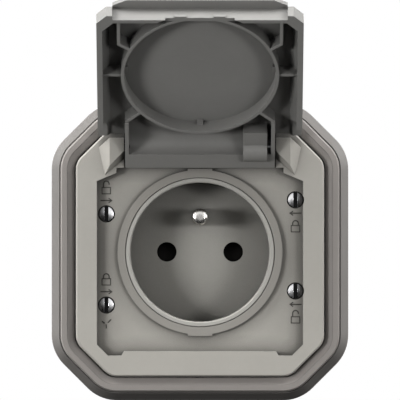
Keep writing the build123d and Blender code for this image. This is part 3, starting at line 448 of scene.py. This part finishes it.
def plated(name, colour, roughness, lines, relief, edge=0.12, shade_mask=None):
    """Plated metal with fine drawn lines, a faint cloudy bloom and painted shade in its corners.

    Relief and edge are in mm; the optional mask is a function that says how far each place is spared the
    painted shade, from 0 (full painted shade) to 1 (none).
    """
    material = bpy.data.materials.new(name)
    graph = Graph(material)
    place = graph.add("ShaderNodeTexCoord", {}, {}, "Object")
    stretched = graph.add("ShaderNodeMapping", {}, {"Vector": place, "Scale": (1.0, 1.0, DRAWN_STRETCH)})
    drawn = graph.add("ShaderNodeTexNoise", {}, {"Vector": stretched, "Scale": lines, "Detail": 2.0})
    bloom = graph.noise(BLOOM_SCALE)
    tint = graph.mix(graph.smooth(bloom, 0.3, 0.7), shade(colour, BLOOM_SHADE), colour)
    # Painted shade: ambient occlusion, times the optional mask, darkens the colour in corners and recesses.
    openness = graph.add("ShaderNodeAmbientOcclusion", {"samples": 12}, {"Distance": METAL_REACH * MM}, "AO")
    if shade_mask:
        openness = openness * shade_mask(graph, place)
    tint = graph.mix(openness, shade(colour, PAINTED_SHADE), tint)
    soft = graph.add("ShaderNodeBevel", {"samples": 6}, {"Radius": edge * MM})
    skin = graph.add("ShaderNodeBump", {}, {
        "Strength": 0.5, "Distance": relief * MM, "Height": drawn, "Normal": soft})
    body = graph.add("ShaderNodeBsdfPrincipled", {}, {
        "Base Color": tint, "Metallic": 1.0,
        "Roughness": roughness + drawn * ROUGHNESS_SPREAD, "Normal": skin})
    graph.add("ShaderNodeOutputMaterial", {}, {"Surface": body})
    return material


SLOT_FLOOR = 4.40
SLOT_SHADE_TOP = 4.75
WALL_REFLECTION_FROM = 26.5
WALL_REFLECTION_TO = 27.7
WALL_REFLECTION_DARKNESS = 0.75


def slot_shade_and_reflection(graph, place):
    """Painted shade: black slots and rims on the heads; painted reflection: a darker side towards the recess
    wall, which the head would mirror.
    """
    across = graph.add("ShaderNodeSeparateXYZ", {}, {"Vector": place}, "X")
    out = 0.0 - graph.add("ShaderNodeSeparateXYZ", {}, {"Vector": place}, "Y")
    side = graph.add("ShaderNodeMath", {"operation": "ABSOLUTE"}, {0: across})
    # Painted reflection: the half of each head nearer the recess wall is darkened, standing in for the dark
    # wall it reflects.
    wall_reflection = graph.smooth(side, WALL_REFLECTION_FROM * MM, WALL_REFLECTION_TO * MM)
    return graph.smooth(out, SLOT_FLOOR * MM, SLOT_SHADE_TOP * MM) ** 2.0 * (1.0 - wall_reflection * WALL_REFLECTION_DARKNESS)


SCREW_STEEL = (0.86, 0.86, 0.87, 1.0)
ZINC = (0.62, 0.63, 0.64, 1.0)
NICKEL = (0.74, 0.72, 0.69, 1.0)
BRASS = (0.78, 0.60, 0.30, 1.0)
SPRING_STEEL = (0.50, 0.50, 0.51, 1.0)
screw_steel = plated("screw_steel", SCREW_STEEL, roughness=0.22, lines=3000.0, relief=0.010, shade_mask=slot_shade_and_reflection)
zinc = plated("zinc", ZINC, roughness=0.34, lines=2500.0, relief=0.010)
nickel = plated("nickel", NICKEL, roughness=0.20, lines=5000.0, relief=0.004, edge=0.60)
brass = plated("brass", BRASS, roughness=0.28, lines=3500.0, relief=0.008)
spring_steel = plated("spring_steel", SPRING_STEEL, roughness=0.26, lines=6000.0, relief=0.004)
dress(screw_steel, "lock_screw_top_left", "lock_screw_bottom_left",
      "lock_screw_top_right", "lock_screw_bottom_right")
dress(zinc, "support_frame", "housing_screws", "terminal_screws", "hinge_pin_left", "hinge_pin_right")
dress(nickel, "earth_pin")
dress(brass, "earth_strap", "live_contact", "neutral_contact", "live_clamp", "neutral_clamp", "earth_clamp")
dress(spring_steel, "shutter_spring")


# Dark insulating pieces behind the well: the shutter and its guide, the housing and the frame's gasket.
# Plain filled nylon, darker than anything on the front, so the pin holes look black.
SHUTTER_BLACK = (0.004, 0.003, 0.002, 1.0)
GUIDE_BLACK = (0.020, 0.020, 0.020, 1.0)
HOUSING_BLACK = (0.045, 0.045, 0.047, 1.0)
GASKET_BLACK = (0.020, 0.020, 0.020, 1.0)
shutter_nylon = moulded("shutter_nylon", SHUTTER_BLACK, roughness=0.60, gloss=0.10, grain=0.20, relief=0.015,
                        edge=0.12)
guide_nylon = moulded("guide_nylon", GUIDE_BLACK, roughness=0.50, gloss=0.35, grain=0.20, relief=0.015,
                      edge=0.12)
housing_nylon = moulded("housing_nylon", HOUSING_BLACK, roughness=0.48, gloss=0.40, grain=0.24, relief=0.035,
                        edge=0.25)
gasket_rubber = moulded("gasket_rubber", GASKET_BLACK, roughness=0.75, gloss=0.20, grain=0.14, relief=0.020,
                        edge=0.10)
dress(shutter_nylon, "shutter")
dress(guide_nylon, "shutter_guide")
dress(housing_nylon, "rear_housing")
dress(gasket_rubber, "frame_gasket")
